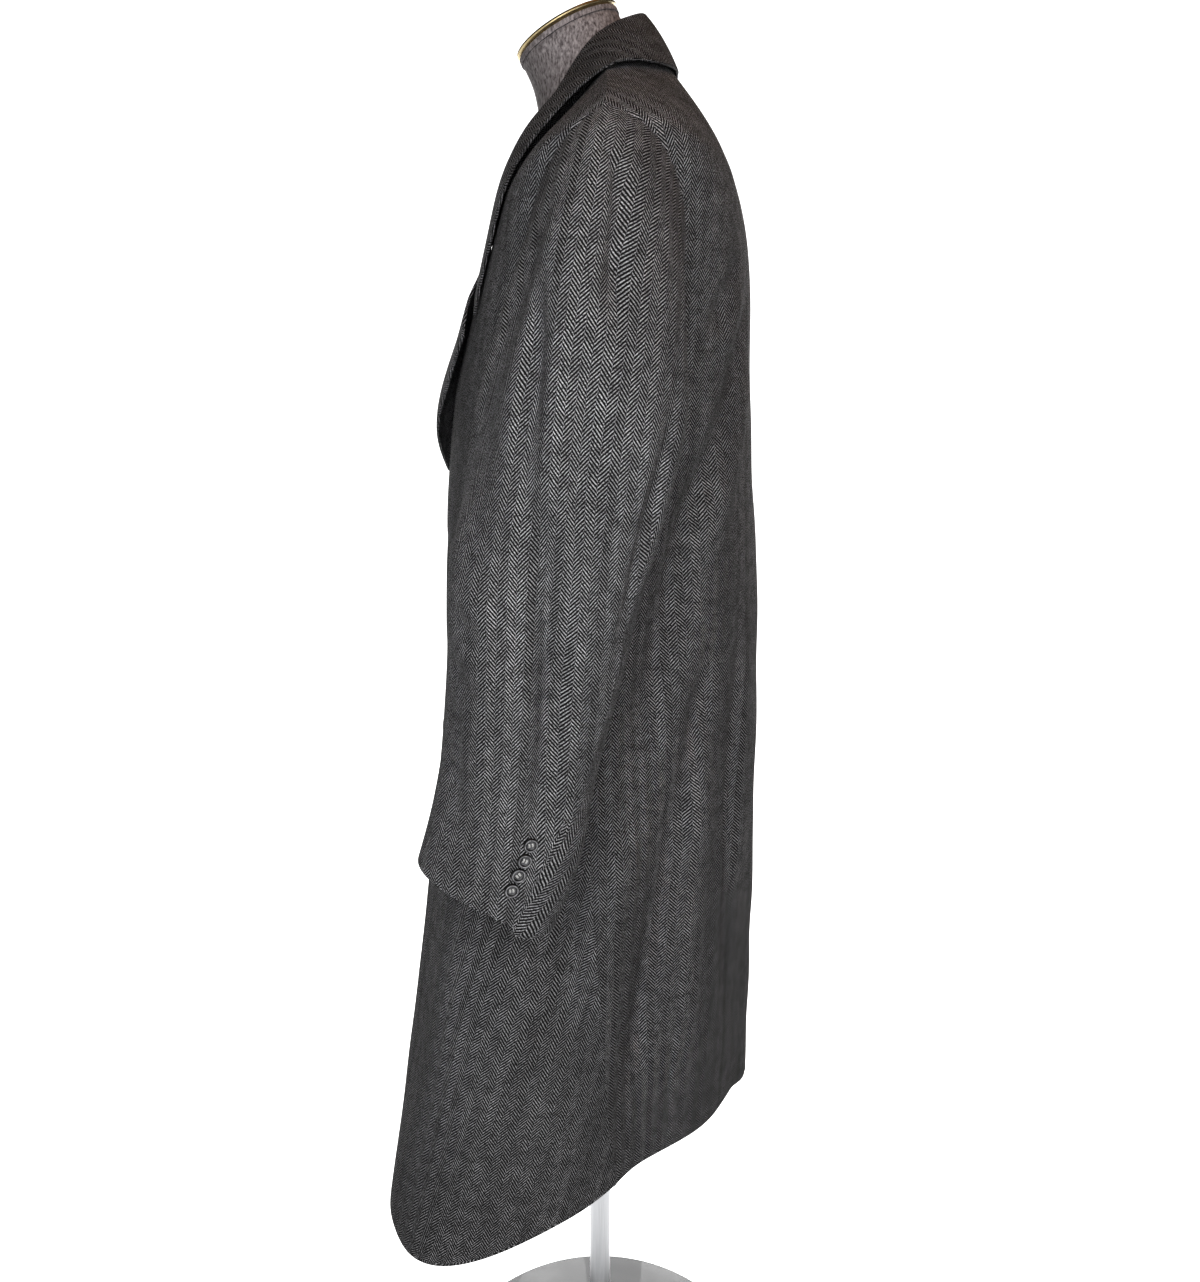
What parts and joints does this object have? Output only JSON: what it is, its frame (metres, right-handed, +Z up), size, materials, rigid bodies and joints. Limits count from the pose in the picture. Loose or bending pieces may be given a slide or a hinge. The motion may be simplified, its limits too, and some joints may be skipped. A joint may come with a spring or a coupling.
{
  "type": "overcoat on a dress form",
  "caption": "Knee-length herringbone tweed overcoat with notch lapels, a centre-back vent and buttoned cuffs, closed on a limbless dress form with a round stand.",
  "frame": {"origin": "on the floor under the stand's pole, at the middle of the base's underside", "axes": "+Z up, the coat faces -Y and the wearer's left is +X"},
  "size_m": [0.6758, 0.4281, 1.6137],
  "materials": {
    "tweed": "herringbone wool tweed, lightly napped",
    "horn": "polished dark horn",
    "jersey": "heather cotton jersey, stretched",
    "brass": "aged, satin",
    "steel": "brushed tube",
    "enamel": "satin black stove enamel"
  },
  "bodies": {
    "root": {"front_left": "tweed", "front_right": "tweed", "back_left": "tweed", "back_right": "tweed", "top_sleeve_left": "tweed", "top_sleeve_right": "tweed", "under_sleeve_left": "tweed", "under_sleeve_right": "tweed", "collar": "tweed", "lapel_left": "tweed", "lapel_right": "tweed", "front_button_1": "horn", "front_button_2": "horn", "front_button_3": "horn", "cuff_button_left_1": "horn", "cuff_button_left_2": "horn", "cuff_button_left_3": "horn", "cuff_button_left_4": "horn", "cuff_button_right_1": "horn", "cuff_button_right_2": "horn", "cuff_button_right_3": "horn", "cuff_button_right_4": "horn", "form_torso": "jersey", "form_neck_cap": "brass", "stand_pole": "steel", "stand_base": "enamel"}
  },
  "joints": []
}
